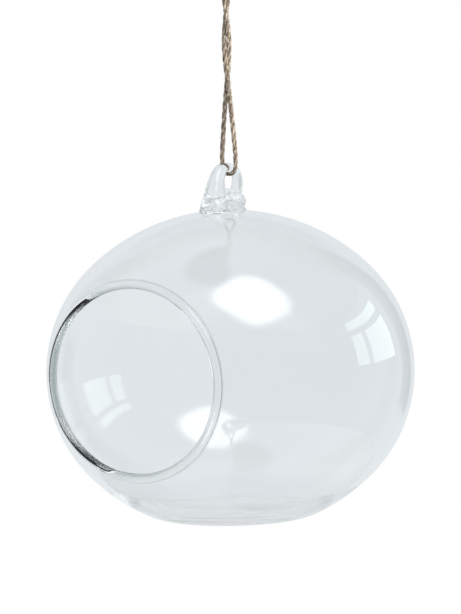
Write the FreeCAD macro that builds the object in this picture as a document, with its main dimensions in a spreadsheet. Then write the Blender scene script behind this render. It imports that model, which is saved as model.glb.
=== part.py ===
import FreeCAD, Part
import math
import os

import Sketcher

# Hanging glass globe vase: a flattened blown globe with a round mouth in its side, a solid glass
# hook on its crown, and one length of jute twine that carries it.
# Millimetres, +Z up. The mouth faces -Y. The origin is where a ceiling hook bears in the twine's
# eye, and the plumb line from it, X = Y = 0, goes through the glass loop and the vase's centre of mass.

# Globe
GLOBE_SIZES = {
    "globe_radius": 90.0,
    "globe_half_height": 79.0,
    "base_depth": 71.0,
    "base_rounding": 18.0,
    "wall": 2.2,
    "floor_thickness": 3.4,
    "cavity_setback": 0.443,
    "mouth_distance": 73.0,
    "rim_radius": 2.1,
}
# How far up and down the arc of the globe's side goes, as a share of a right angle. Crown and base
# have one other arc each, which meets it smoothly, whichever of the globe's breadths is the larger.
SIDE_ARC_SHARE = 0.5237
# Where the cone that opens the mouth begins and ends, as shares of globe_radius
MOUTH_CONE_SHARES = (0.5, 1.1)

# Hook: its crest and length are measured along the middle of the glass
HOOK_SIZES = {
    "loop_offset": 1.9,
    "hook_length": 18.6,
    "crest_height": 20.9,
    "column_radius": 5.9,
    "crest_radius": 2.0,
    "pad_half_width": 9.8,
    "pad_half_length": 12.4,
    "pad_half_height": 4.4,
    "pad_setback": 5.3,
    "tail_radius": 2.5,
}

# Twine
TWINE_SIZES = {
    "twine_diameter": 2.2,
    "hook_clearance": 0.3,
    "fork_gap": 0.3,
    "knot_radius": 3.6,
    "knot_half_height": 4.3,
    "knot_rise": 4.6,
    "tail_length": 11.0,
    "tail_spread": 4.0,
}

# One leg of the twine: under and up from the glass loop to the fork, twisted round the other leg,
# and through the eye to the knot. The other leg is the same half a turn round the plumb line. The
# points are chosen by hand from the photographed route.
BIGHT_ROUTE = (
    (3.4, 0.0, -107.0),
    (4.7, 0.0, -101.3),
    (1.4, 0.0, -70.0),
)
PAIR_ROUTE = (
    (0.92, -0.92, -62.0),
    (0.0, -1.3, -53.0),
    (-0.97, -0.87, -44.0),
    (-1.3, 0.11, -36.5),
    (-0.8, 1.02, -28.6),
    (0.1, 1.3, -21.0),
)
EYE_ROUTE = (
    (0.0, 4.0, -14.0),
    (0.0, 4.6, -7.0),
    (0.0, 2.6, -0.5),
    (0.0, 1.7, 4.0),
)
# An arc takes up this share of the shorter run beside it
ARC_SHARE = 0.45

# A cut tail above the knot: sideways and upwards, as shares of tail_spread and tail_length
TAIL_ROUTE_SHARES = (
    (0.00, 0.00),
    (0.25, 0.50),
    (1.00, 1.00),
)

# Hook loop: place along the hook, height, and how far the thickness is from crest to column,
# as shares of hook_length, crest_height and the difference of the two radii
LOOP_SHARES = (
    (-0.656, -0.144, 1.05),
    (-0.645, 0.215, 0.90),
    (-0.581, 0.459, 0.72),
    (-0.522, 0.689, 0.49),
    (-0.398, 0.871, 0.33),
    (-0.204, 0.976, 0.10),
    (0.000, 1.000, 0.00),
    (0.183, 0.947, 0.03),
    (0.317, 0.809, 0.13),
    (0.344, 0.632, 0.20),
    (0.290, 0.440, 0.23),
    (0.194, 0.268, 0.23),
    (0.118, 0.115, 0.18),
    (0.081, -0.096, 0.10),
)

# Pad: height above the crown and breadth, as shares of pad_half_height and of its two half breadths
PAD_SHARES = (
    (-0.80, 0.88),
    (-0.20, 0.97),
    (0.20, 1.00),
    (0.55, 0.92),
    (0.82, 0.75),
    (0.97, 0.50),
    (1.02, 0.22),
)

# Drawn tail across the pad: place across and along the hook, height, and thickness,
# as shares of pad_half_width, hook_length, crest_height and tail_radius
TAIL_SHARES = (
    (0.15, -0.269, 0.421, 0.64),
    (0.35, -0.081, 0.344, 0.88),
    (0.43, 0.134, 0.249, 1.00),
    (0.33, 0.290, 0.163, 0.90),
    (0.16, 0.344, 0.096, 0.68),
)

document = FreeCAD.newDocument("HangingVase")
sheet = document.addObject("Spreadsheet::Sheet", "Sizes")


def fill_sheet():
    """Writes every named size to its own cell, with its name as the alias."""
    bight = {"bight_drop": -BIGHT_ROUTE[0][2]}
    rows = {**GLOBE_SIZES, **HOOK_SIZES, **TWINE_SIZES, **bight}
    for row, (name, value) in enumerate(rows.items(), start=1):
        sheet.set(f"A{row}", name)
        sheet.set(f"B{row}", str(value))
        sheet.setAlias(f"B{row}", name)
    document.recompute()


def size(name):
    return float(sheet.get(name))


def value(text):
    """The number that an expression on the sheet gives."""
    return float(sheet.evalExpression(text))


def bind(item, **expressions):
    """Binds properties to expressions. A double underscore in a name stands for a dot."""
    for prop, text in expressions.items():
        item.setExpression(prop.replace("__", "."), text)


def place_with_vase(item):
    """Hangs an item that is modelled round the globe's middle under the twine."""
    bind(
        item,
        Placement__Base__y="-Sizes.loop_offset",
        Placement__Base__z=(
            "-Sizes.bight_drop - Sizes.crest_height - Sizes.globe_half_height"
            " + Sizes.crest_radius + Sizes.hook_clearance + Sizes.twine_diameter / 2"
        ),
    )


def plane_sketch(body, name, role):
    """A sketch on one of a body's own origin planes."""
    sketch = body.newObject("Sketcher::SketchObject", name)
    plane = next(item for item in body.Origin.OriginFeatures if item.Role == role)
    sketch.AttachmentSupport = [(plane, "")]
    sketch.MapMode = "FlatFace"
    return sketch


def hold(sketch, name, rule, text):
    """Adds a dimension to a sketch and binds it to an expression."""
    index = sketch.addConstraint(rule)
    sketch.renameConstraint(index, name)
    sketch.setExpression(f"Constraints.{name}", text)


def oval(across, up):
    """An ellipse round the sketch's origin, whichever of its half breadths is the longer."""
    half_across, half_up = value(across), value(up)
    ends = FreeCAD.Vector(half_across, 0, 0), FreeCAD.Vector(0, half_up, 0)
    if half_across < half_up:
        ends = ends[::-1]
    return Part.Ellipse(*ends, FreeCAD.Vector())


def hold_oval(sketch, curve, across, up):
    """Holds an ellipse or an arc of one to the sketch's origin and to its two half breadths."""
    long_line = sketch.GeometryCount
    sketch.exposeInternalGeometry(curve)
    sketch.addConstraint(Sketcher.Constraint("Coincident", curve, 3, -1, 1))
    wide = value(across) >= value(up)
    sketch.addConstraint(Sketcher.Constraint("Horizontal" if wide else "Vertical", long_line))
    longer, shorter = (across, up) if wide else (up, across)
    for line, name, half in ((long_line, "Longer", longer), (long_line + 1, "Shorter", shorter)):
        rule = Sketcher.Constraint("Distance", line, 2 * value(half))
        hold(sketch, name, rule, f"2 * ({half})")


def arc_round(x, y, radius, start, end):
    """An arc in a sketch's plane, counter-clockwise from one angle to another."""
    circle = Part.Circle(FreeCAD.Vector(x, y, 0), FreeCAD.Vector(0, 0, 1), radius)
    return Part.ArcOfCircle(circle, start, end)


JOINT_ANGLE = math.pi / 2 * SIDE_ARC_SHARE
JOINT_ACROSS_SHARE, JOINT_UP_SHARE = math.cos(JOINT_ANGLE), math.sin(JOINT_ANGLE)
# How much wider the crown's arc is than the side's, the middle of the side's arc, and both radii
ARC_DIFFERENCE = (
    "((Sizes.globe_radius - Sizes.globe_half_height)"
    f" / ({JOINT_ACROSS_SHARE} + {JOINT_UP_SHARE} - 1))"
)
SIDE_MIDDLE = f"({ARC_DIFFERENCE} * {JOINT_ACROSS_SHARE})"
SIDE_ARC = f"(Sizes.globe_radius - {SIDE_MIDDLE})"
CROWN_ARC = f"({SIDE_ARC} + {ARC_DIFFERENCE})"


def half_section(body, name, inset, floor_depth):
    """Half of a flattened ball in three smooth arcs, inset from the globe's outside by an even
    thickness, and closed by a level floor and along its axis."""
    sketch = plane_sketch(body, name, "YZ_Plane")
    side, middle, depth = value(f"{SIDE_ARC} - {inset}"), value(SIDE_MIDDLE), value(floor_depth)
    wide, beyond = value(f"{CROWN_ARC} - {inset}"), value(f"{CROWN_ARC} - Sizes.globe_half_height")
    top, foot = FreeCAD.Vector(0, wide - beyond, 0), FreeCAD.Vector(0, -depth, 0)
    corner = FreeCAD.Vector(math.sqrt(wide**2 - (depth + beyond) ** 2), -depth, 0)
    low = math.atan2(-depth - beyond, corner.x)
    crown_arc, side_arc, base_arc, axis, floor = range(5)
    sketch.addGeometry(arc_round(0, -beyond, wide, JOINT_ANGLE, math.pi / 2), False)
    sketch.addGeometry(arc_round(middle, 0, side, -JOINT_ANGLE, JOINT_ANGLE), False)
    sketch.addGeometry(arc_round(0, beyond, wide, low, -JOINT_ANGLE), False)
    sketch.addGeometry(Part.LineSegment(top, foot), False)
    sketch.addGeometry(Part.LineSegment(foot, corner), False)
    for rule in (
        ("Tangent", crown_arc, 1, side_arc, 2),
        ("Tangent", side_arc, 1, base_arc, 2),
        ("Coincident", crown_arc, 2, axis, 1),
        ("Coincident", axis, 2, floor, 1),
        ("Coincident", floor, 2, base_arc, 1),
        ("PointOnObject", crown_arc, 3, -2),
        ("PointOnObject", side_arc, 3, -1),
        ("PointOnObject", base_arc, 3, -2),
        ("PointOnObject", axis, 1, -2),
        ("PointOnObject", axis, 2, -2),
        ("Equal", crown_arc, base_arc),
        ("Horizontal", floor),
    ):
        sketch.addConstraint(Sketcher.Constraint(*rule))
    hold(sketch, "Side", Sketcher.Constraint("Radius", side_arc, side), f"{SIDE_ARC} - {inset}")
    hold(sketch, "Middle", Sketcher.Constraint("DistanceX", -1, 1, side_arc, 3, middle), SIDE_MIDDLE)
    crown = Sketcher.Constraint("DistanceY", -1, 1, crown_arc, 2, top.y)
    hold(sketch, "Crown", crown, f"Sizes.globe_half_height - {inset}")
    hold(sketch, "Depth", Sketcher.Constraint("DistanceY", floor, 1, -1, 1, depth), floor_depth)
    return sketch


def turned(body, kind, name, sketch):
    """Turns a half section round its upright axis."""
    feature = body.newObject(kind, name)
    feature.Profile = sketch
    feature.ReferenceAxis = (sketch, ["V_Axis"])
    feature.Angle = 360
    document.recompute()
    return feature


def outer_form(body):
    """The globe's outside: a flattened ball on a flat base."""
    section = half_section(body, "OuterSection", "0", "Sizes.base_depth")
    return turned(body, "PartDesign::Revolution", "OuterForm", section)


RIM_HALF_WIDTH = "sqrt(pow(Sizes.globe_radius - Sizes.wall / 2; 2) - pow(Sizes.mouth_distance; 2))"
RIM_HALF_HEIGHT = (
    f"sqrt(pow({SIDE_ARC} - Sizes.wall / 2; 2) - pow(Sizes.mouth_distance - {SIDE_MIDDLE}; 2))"
)


def mouth_oval(body, name, distance):
    """An oval across the mouth, as it is seen from the globe's middle: it lies in the middle of
    the wall at the rim, and grows with its distance."""
    sketch = plane_sketch(body, name, "XZ_Plane")
    bind(sketch, AttachmentOffset__Base__z=distance)
    growth = f"({distance}) / Sizes.mouth_distance"
    across, up = f"{RIM_HALF_WIDTH} * {growth}", f"{RIM_HALF_HEIGHT} * {growth}"
    sketch.addGeometry(oval(across, up), False)
    hold_oval(sketch, 0, across, up)
    return sketch


def rim_section(body):
    """The bead's round section, drawn where the rim is highest."""
    sketch = plane_sketch(body, "RimSection", "YZ_Plane")
    away, up, radius = size("mouth_distance"), value(RIM_HALF_HEIGHT), size("rim_radius")
    sketch.addGeometry(Part.Circle(FreeCAD.Vector(-away, up, 0), FreeCAD.Vector(0, 0, 1), radius), False)
    hold(sketch, "Bead", Sketcher.Constraint("Radius", 0, radius), "Sizes.rim_radius")
    hold(sketch, "Away", Sketcher.Constraint("DistanceX", 0, 3, -1, 1, away), "Sizes.mouth_distance")
    hold(sketch, "Up", Sketcher.Constraint("DistanceY", -1, 1, 0, 3, up), RIM_HALF_HEIGHT)
    return sketch


def glass_globe():
    """A flattened hollow globe with a flat base, opened at the mouth square to its wall and
    beaded there."""
    body = document.addObject("PartDesign::Body", "Globe")
    body.Label = "glass_globe"
    outer = outer_form(body)
    rounded = body.newObject("PartDesign::Fillet", "BaseRounding")
    rounded.Base = (outer, [flat_edge(outer.Shape, -size("base_depth"))])
    bind(rounded, Radius="Sizes.base_rounding")
    document.recompute()
    cavity = half_section(body, "CavitySection", "Sizes.wall", "Sizes.base_depth - Sizes.floor_thickness")
    bind(cavity, AttachmentOffset__Base__x="Sizes.cavity_setback")
    turned(body, "PartDesign::Groove", "Cavity", cavity)
    near, far = (f"Sizes.globe_radius * {share}" for share in MOUTH_CONE_SHARES)
    start, end = mouth_oval(body, "MouthStart", near), mouth_oval(body, "MouthEnd", far)
    document.recompute()
    mouth = body.newObject("PartDesign::SubtractiveLoft", "Mouth")
    mouth.Profile = start
    mouth.Sections = [end]
    mouth.Ruled = True
    document.recompute()
    path, section = mouth_oval(body, "RimPath", "Sizes.mouth_distance"), rim_section(body)
    document.recompute()
    bead = body.newObject("PartDesign::AdditivePipe", "RimBead")
    bead.Profile = section
    bead.Spine = (path, ["Edge1"])
    body.Tip = bead
    place_with_vase(body)
    document.recompute()
    return body


def flat_edge(shape, height):
    """The name of the edge that lies nearest to one height all round."""
    def miss(edge):
        box = edge.BoundBox
        return abs(box.ZMin - height) + abs(box.ZMax - height)

    nearest = min(range(len(shape.Edges)), key=lambda index: miss(shape.Edges[index]))
    return f"Edge{nearest + 1}"


def section_circles(name, places, radii, directions):
    """Circles to loft through, each square to its direction and bound to the sheet."""
    circles = []
    for number, (place, radius, direction) in enumerate(zip(places, radii, directions), start=1):
        circle = document.addObject("Part::Circle", f"{name}{number}")
        sideways = FreeCAD.Vector(1, 0, 0)
        turn = FreeCAD.Rotation(sideways, direction.cross(sideways), direction, "ZXY")
        circle.Placement = FreeCAD.Placement(FreeCAD.Vector(), turn)
        bind(
            circle,
            Radius=radius,
            Placement__Base__x=place[0],
            Placement__Base__y=place[1],
            Placement__Base__z=place[2],
        )
        circles.append(circle)
    return circles


def directions_along(points):
    """The direction of a line of points at each of them, from its neighbours."""
    last = len(points) - 1
    return [
        (points[min(index + 1, last)] - points[max(index - 1, 0)]).normalize()
        for index in range(last + 1)
    ]


def loft(name, sections):
    item = document.addObject("Part::Loft", name)
    item.Sections = sections
    item.Solid = True
    item.Ruled = False
    item.MaxDegree = 3
    return item


def hook_loop():
    """The column that rises from the pad, curls over and comes down again."""
    places, radii, middles = [], [], []
    for along, rise, stout in LOOP_SHARES:
        places.append(
            (
                "0",
                f"Sizes.loop_offset + Sizes.hook_length * {along}",
                f"Sizes.globe_half_height + Sizes.crest_height * {rise}",
            )
        )
        radii.append(f"Sizes.crest_radius + (Sizes.column_radius - Sizes.crest_radius) * {stout}")
        middles.append(FreeCAD.Vector(0, size("hook_length") * along, size("crest_height") * rise))
    return loft("Loop", section_circles("LoopSection", places, radii, directions_along(middles)))


def hook_tail():
    """The drawn end of the hook's glass, laid slantwise across the foot."""
    places, radii, middles = [], [], []
    for across, along, rise, stout in TAIL_SHARES:
        places.append(
            (
                f"Sizes.pad_half_width * {across}",
                f"Sizes.loop_offset + Sizes.hook_length * {along}",
                f"Sizes.globe_half_height + Sizes.crest_height * {rise}",
            )
        )
        radii.append(f"Sizes.tail_radius * {stout}")
        middles.append(
            FreeCAD.Vector(
                size("pad_half_width") * across,
                size("hook_length") * along,
                size("crest_height") * rise,
            )
        )
    return loft("Tail", section_circles("TailSection", places, radii, directions_along(middles)))


def hook_pad():
    """The round-edged pad, longer along the hook than across it."""
    sections = []
    for number, (rise, breadth) in enumerate(PAD_SHARES, start=1):
        outline = document.addObject("Sketcher::SketchObject", f"PadSection{number}")
        half_breadths = f"Sizes.pad_half_width * {breadth}", f"Sizes.pad_half_length * {breadth}"
        outline.addGeometry(oval(*half_breadths), False)
        hold_oval(outline, 0, *half_breadths)
        bind(
            outline,
            Placement__Base__y="Sizes.loop_offset - Sizes.pad_setback",
            Placement__Base__z=f"Sizes.globe_half_height + Sizes.pad_half_height * {rise}",
        )
        sections.append(outline)
    return loft("Pad", sections)


def glass_hook():
    """Pad, loop and tail in one solid, shaped below to the arc of the crown that it sits on. The
    ball cut away there is turned on its side, so that neither its poles nor its seam are under the pad."""
    gather = document.addObject("Part::MultiFuse", "Gather")
    gather.Shapes = [hook_pad(), hook_loop(), hook_tail()]
    crown = document.addObject("Part::Sphere", "Crown")
    crown.Placement = FreeCAD.Placement(FreeCAD.Vector(), FreeCAD.Rotation(FreeCAD.Vector(0, 1, 0), 90))
    bind(crown, Radius=CROWN_ARC, Placement__Base__z=f"Sizes.globe_half_height - {CROWN_ARC}")
    hook = document.addObject("Part::Cut", "Hook")
    hook.Label = "glass_hook"
    hook.Base = gather
    hook.Tool = crown
    place_with_vase(hook)
    document.recompute()
    return hook


def other_leg(points):
    """The same points half a turn round the plumb line."""
    return [FreeCAD.Vector(-point.x, -point.y, point.z) for point in points]


def round_corner(before, corner, after):
    """The arc that replaces a corner of a route: its start, middle, end and radius."""
    back, ahead = before - corner, after - corner
    reach = ARC_SHARE * min(back.Length, ahead.Length)
    half_turn = (math.pi - back.getAngle(ahead)) / 2
    radius = reach / math.tan(half_turn)
    start = corner + back.normalize() * reach
    end = corner + ahead.normalize() * reach
    inward = (start + end) * 0.5 - corner
    depth = radius / math.cos(half_turn) - radius
    return start, corner + inward.normalize() * depth, end, radius


def tube(points):
    """A round tube of twine along straight runs joined by tangent arcs."""
    edges, radii, here = [], [], points[0]
    for before, corner, after in zip(points, points[1:], points[2:]):
        start, middle, end, radius = round_corner(before, corner, after)
        edges += [Part.LineSegment(here, start).toShape(), Part.Arc(start, middle, end).toShape()]
        radii.append(f"{radius:.1f}")
        here = end
    edges.append(Part.LineSegment(here, points[-1]).toShape())
    path = Part.Wire(edges)
    ring = Part.Circle(points[0], points[1] - points[0], size("twine_diameter") / 2)
    solid = path.makePipeShell([Part.Wire(ring.toShape())], True, False)
    share = solid.Volume / (math.pi * (size("twine_diameter") / 2) ** 2 * path.Length)
    print(f"  tube {path.Length:.1f} mm, volume {share:.4f} of section x length, arcs {', '.join(radii)} mm")
    return solid


def twine_node(label, shape):
    """A stretch of twine as an object of the document."""
    item = document.addObject("Part::Feature", label.title().replace("_", ""))
    item.Label = label
    item.Shape = shape
    item.Placement = FreeCAD.Placement()
    return item


def both(make, points):
    """What is made along one leg's points and along the other's, as one node of two solids."""
    return Part.makeCompound([make(points), make(other_leg(points))])


def twine_stretches():
    """The twine from the glass loop up: bight, twisted pair, eye, knot and cut tails."""
    rising, pair, eye = (
        [FreeCAD.Vector(*point) for point in route] for route in (BIGHT_ROUTE, PAIR_ROUTE, EYE_ROUTE)
    )
    fork, parting = rising.pop(), (pair[-1] + eye[0]) * 0.5
    half_gap = FreeCAD.Vector(0, 0, size("fork_gap") / 2)
    rising.append(fork - half_gap)
    twisting = [fork + half_gap] + pair + [parting]
    knot = knot_solid()

    def to_knot(points):
        return tube(points).cut(knot)

    return [
        twine_node("twine_bight", tube(other_leg(rising)[::-1] + rising)),
        twine_node("twine_twisted_pair", both(tube, twisting)),
        twine_node("twine_eye", both(to_knot, [parting] + eye)),
        twine_node("twine_knot", knot),
        twine_node("twine_tails", both(to_knot, tail_route())),
    ]


def tail_route():
    """One cut tail, from inside the knot up and outwards."""
    return [
        FreeCAD.Vector(0, size("tail_spread") * spread, size("knot_rise") + size("tail_length") * rise)
        for spread, rise in TAIL_ROUTE_SHARES
    ]


def knot_solid():
    """The knot's outer form: a ball drawn out along the twine."""
    upright = FreeCAD.Rotation(FreeCAD.Vector(1, 0, 0), 90)
    curve = oval("Sizes.knot_radius", "Sizes.knot_half_height")
    top = FreeCAD.Vector(0, size("knot_half_height"), 0)
    arc = Part.ArcOfEllipse(curve, curve.parameter(-top), curve.parameter(top)).toShape()
    arc.Placement = FreeCAD.Placement(FreeCAD.Vector(0, 0, size("knot_rise")), upright)
    skin = arc.revolve(FreeCAD.Vector(), FreeCAD.Vector(0, 0, 1), 360)
    return Part.Solid(Part.Shell(skin.Faces))


def check_document(nodes):
    """Stops if anything in the document failed or a node is not valid."""
    for item in document.Objects:
        if "Invalid" in item.State or "Error" in item.State:
            raise RuntimeError(f"{item.Name} failed: {item.State}")
    for node in nodes:
        if node.Shape.isNull() or not node.Shape.isValid():
            raise RuntimeError(f"{node.Label} has no valid shape")


def report_balance(globe, hook):
    """Prints how far the glass's centre of mass lies from the plumb line."""
    parts = [globe.Shape, hook.Shape]
    total = sum(shape.Volume for shape in parts)
    along = sum(shape.Volume * centre_of(shape).y for shape in parts) / total
    across = sum(shape.Volume * centre_of(shape).x for shape in parts) / total
    print(f"  glass {total:.0f} mm3, centre of mass {along:+.3f} mm along Y, {across:+.3f} mm along X")


def centre_of(shape):
    """The centre of mass of a node's solids."""
    total = sum(solid.Volume for solid in shape.Solids)
    return sum((solid.CenterOfMass * solid.Volume for solid in shape.Solids), FreeCAD.Vector()) * (1 / total)


fill_sheet()
globe = glass_globe()
hook = glass_hook()
nodes = [globe, hook] + twine_stretches()
document.recompute()
check_document(nodes)
report_balance(globe, hook)

os.makedirs("parts", exist_ok=True)
for node in nodes:
    node.Shape.exportStep(os.path.join("parts", f"{node.Label}.step"))
    box = node.Shape.optimalBoundingBox()
    print(
        f"  {node.Label}: {len(node.Shape.Solids)} solid, {node.Shape.Volume:.0f} mm3,"
        f" X {box.XMin:.1f} to {box.XMax:.1f}, Y {box.YMin:.1f} to {box.YMax:.1f},"
        f" Z {box.ZMin:.1f} to {box.ZMax:.1f}"
    )
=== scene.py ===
import math
from itertools import product

import bpy
import numpy as np
from mathutils import Matrix, Vector


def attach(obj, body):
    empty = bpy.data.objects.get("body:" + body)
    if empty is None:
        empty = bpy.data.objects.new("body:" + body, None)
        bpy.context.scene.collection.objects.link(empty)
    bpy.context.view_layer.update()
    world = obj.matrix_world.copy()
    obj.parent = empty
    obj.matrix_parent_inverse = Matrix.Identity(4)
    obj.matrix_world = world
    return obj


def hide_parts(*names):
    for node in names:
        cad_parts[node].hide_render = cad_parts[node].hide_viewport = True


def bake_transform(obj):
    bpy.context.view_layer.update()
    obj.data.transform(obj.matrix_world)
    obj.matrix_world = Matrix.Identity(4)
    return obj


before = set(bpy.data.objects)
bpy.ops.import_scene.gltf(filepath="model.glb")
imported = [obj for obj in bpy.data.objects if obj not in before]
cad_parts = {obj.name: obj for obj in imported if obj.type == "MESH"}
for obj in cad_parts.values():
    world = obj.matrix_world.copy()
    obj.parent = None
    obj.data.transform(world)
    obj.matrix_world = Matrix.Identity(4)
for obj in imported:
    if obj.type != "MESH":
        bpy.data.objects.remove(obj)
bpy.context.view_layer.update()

# All places below are in millimetres and are scaled to metres where a mesh is made.
MM = 0.001
FULL_TURN = 2 * math.pi

# The globe's outline, as in the part's source
GLOBE_CENTRE = np.array([0.0, -1.9, -203.5])
GLOBE_RADIUS, GLOBE_HALF_HEIGHT = 90.0, 79.0
BASE_DEPTH, BASE_ROUNDING = 71.0, 18.0
WALL, FLOOR_THICKNESS, CAVITY_SETBACK = 2.2, 3.4, 0.443
MOUTH_DISTANCE, RIM_RADIUS = 73.0, 2.1
SIDE_ARC_SHARE = 0.5237
JOINT_ANGLE = math.pi / 2 * SIDE_ARC_SHARE
ARC_DIFFERENCE = (GLOBE_RADIUS - GLOBE_HALF_HEIGHT) / (math.cos(JOINT_ANGLE) + math.sin(JOINT_ANGLE) - 1)
SIDE_MIDDLE = ARC_DIFFERENCE * math.cos(JOINT_ANGLE)
SIDE_ARC = GLOBE_RADIUS - SIDE_MIDDLE
CROWN_ARC = SIDE_ARC + ARC_DIFFERENCE
CROWN_DROP = CROWN_ARC - GLOBE_HALF_HEIGHT

# The hook, as in the part's source
LOOP_OFFSET, HOOK_LENGTH, CREST_HEIGHT = 1.9, 18.6, 20.9
COLUMN_RADIUS, CREST_RADIUS = 5.9, 2.0
PAD_HALF_WIDTH, PAD_HALF_LENGTH, PAD_HALF_HEIGHT, PAD_SETBACK = 9.8, 12.4, 4.4, 5.3
TAIL_RADIUS = 2.5
LOOP_SHARES = (
    (-0.656, -0.144, 1.05),
    (-0.645, 0.215, 0.90),
    (-0.581, 0.459, 0.72),
    (-0.522, 0.689, 0.49),
    (-0.398, 0.871, 0.33),
    (-0.204, 0.976, 0.10),
    (0.000, 1.000, 0.00),
    (0.183, 0.947, 0.03),
    (0.317, 0.809, 0.13),
    (0.344, 0.632, 0.20),
    (0.290, 0.440, 0.23),
    (0.194, 0.268, 0.23),
    (0.118, 0.115, 0.18),
    (0.081, -0.096, 0.10),
)
TAIL_SHARES = (
    (0.15, -0.269, 0.421, 0.64),
    (0.35, -0.081, 0.344, 0.88),
    (0.43, 0.134, 0.249, 1.00),
    (0.33, 0.290, 0.163, 0.90),
    (0.16, 0.344, 0.096, 0.68),
)

# The twine: one leg's route from the glass loop to the knot, as in the part's source
TWINE_DIAMETER = 2.2
LEG_ROUTE = (
    (3.4, 0.0, -107.0),
    (4.7, 0.0, -101.3),
    (1.4, 0.0, -70.0),
    (0.92, -0.92, -62.0),
    (0.0, -1.3, -53.0),
    (-0.97, -0.87, -44.0),
    (-1.3, 0.11, -36.5),
    (-0.8, 1.02, -28.6),
    (0.1, 1.3, -21.0),
    (0.0, 4.0, -14.0),
    (0.0, 4.6, -7.0),
    (0.0, 2.6, -0.5),
    (0.0, 1.7, 4.0),
)
TAIL_ROUTE = ((0.0, 0.0, 4.6), (0.0, 1.0, 10.1), (0.0, 4.0, 15.6))
KNOT_RADIUS, KNOT_HALF_HEIGHT, KNOT_RISE = 3.6, 4.3, 4.6


# Camera

AZIMUTH, ELEVATION, ROLL = math.radians(38.5), math.radians(4.2), math.radians(1.1)
CAMERA_DISTANCE = 885.0
FOCAL_PIXELS, LONG_SIDE_PIXELS, SENSOR = 1800.0, 614.0, 36.0
AIM_UP, AIM_RIGHT = 31.2, 0.6

view_back = np.array(
    [
        math.sin(AZIMUTH) * math.cos(ELEVATION),
        -math.cos(AZIMUTH) * math.cos(ELEVATION),
        math.sin(ELEVATION),
    ]
)
view_right = np.array([math.cos(AZIMUTH), math.sin(AZIMUTH), 0.0])
view_up = np.cross(view_back, view_right)
camera_place = GLOBE_CENTRE + view_back * CAMERA_DISTANCE
aim = GLOBE_CENTRE + view_up * AIM_UP + view_right * AIM_RIGHT
look_back = (camera_place - aim) / np.linalg.norm(camera_place - aim)
tilted = view_up * math.cos(ROLL) + view_right * math.sin(ROLL)
look_right = np.cross(tilted, look_back)
look_right /= np.linalg.norm(look_right)
look_up = np.cross(look_back, look_right)

camera_data = bpy.data.cameras.new("camera")
camera_data.sensor_fit = "AUTO"
camera_data.sensor_width = SENSOR
camera_data.lens = FOCAL_PIXELS / LONG_SIDE_PIXELS * SENSOR
camera = bpy.data.objects.new("camera", camera_data)
camera.matrix_world = Matrix(
    [
        [look_right[row], look_up[row], look_back[row], camera_place[row] * MM]
        for row in range(3)
    ]
    + [[0.0, 0.0, 0.0, 1.0]]
)
bpy.context.collection.objects.link(camera)
bpy.context.scene.camera = camera


# Helpers

ROUTE_RESOLUTION, ROUTE_ORDER = 24, 3
NEARLY_UPRIGHT, TINY = 0.1, 1e-9


def mesh_object(name, points, faces, smooth=True):
    """A mesh from points in millimetres."""
    mesh = bpy.data.meshes.new(name)
    mesh.from_pydata((np.asarray(points) * MM).tolist(), [], [tuple(face) for face in faces])
    mesh.validate()
    if smooth:
        mesh.polygons.foreach_set("use_smooth", [True] * len(mesh.polygons))
    mesh.update()
    item = bpy.data.objects.new(name, mesh)
    bpy.context.collection.objects.link(item)
    return item


def point_values(item, name, values):
    """Gives each point of a mesh its own number, which a material can read by the name."""
    item.data.attributes.new(name, "FLOAT", "POINT").data.foreach_set("value", values)


def unit(vectors):
    return vectors / np.linalg.norm(vectors, axis=-1, keepdims=True)


def rise(value, start, end):
    """0 up to the start, 1 from the end, and a soft change between them."""
    share = np.clip((value - start) / (end - start), 0, 1)
    return share**2 * (3 - 2 * share)


def band(value, start, full, fading, end):
    """0 outside the start and the end, 1 from full to fading, and a soft change between them."""
    return rise(value, start, full) * rise(-value, -end, -fading)


def slope_of(distance, points, step=1e-3):
    """The outward direction of a distance field at some points."""
    parts = []
    for axis in range(3):
        shift = np.zeros(3)
        shift[axis] = step
        parts.append(distance(points + shift) - distance(points - shift))
    return unit(np.stack(parts, axis=-1))


def route_line(points, spacing):
    """Points in millimetres, evenly spaced, read from the NURBS spline that a route controls."""
    data = bpy.data.curves.new("route", "CURVE")
    data.dimensions = "3D"
    data.resolution_u = ROUTE_RESOLUTION
    spline = data.splines.new("NURBS")
    spline.points.add(len(points) - 1)
    for control, point in zip(spline.points, points):
        control.co = (*(value * MM for value in point), 1.0)
    spline.order_u = ROUTE_ORDER
    spline.use_endpoint_u = True
    holder = bpy.data.objects.new("route", data)
    mesh = bpy.data.meshes.new_from_object(holder)
    line = np.array([vertex.co[:] for vertex in mesh.vertices]) / MM
    bpy.data.objects.remove(holder)
    bpy.data.curves.remove(data)
    bpy.data.meshes.remove(mesh)
    return even_line(line, spacing)


def even_line(line, spacing):
    """The same line with its points at even distances."""
    steps = np.linalg.norm(np.diff(line, axis=0), axis=1)
    along = np.concatenate([[0.0], np.cumsum(steps)])
    places = np.linspace(0.0, along[-1], max(2, round(along[-1] / spacing) + 1))
    return np.stack([np.interp(places, along, line[:, axis]) for axis in range(3)], axis=1)


def line_length(line):
    return float(np.linalg.norm(np.diff(line, axis=0), axis=1).sum())


def frames_along(line):
    """Directions along a line and two across it that turn as little as they can."""
    ahead = unit(np.gradient(line, axis=0))
    across = np.zeros_like(line)
    first = np.cross(ahead[0], [0.0, 0.0, 1.0])
    if np.linalg.norm(first) < NEARLY_UPRIGHT:
        first = np.cross(ahead[0], [1.0, 0.0, 0.0])
    across[0] = first / np.linalg.norm(first)
    for row in range(1, len(line)):
        side = across[row - 1] - ahead[row] * np.dot(across[row - 1], ahead[row])
        across[row] = side / np.linalg.norm(side)
    return ahead, across, np.cross(ahead, across)


# Glass globe

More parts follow.
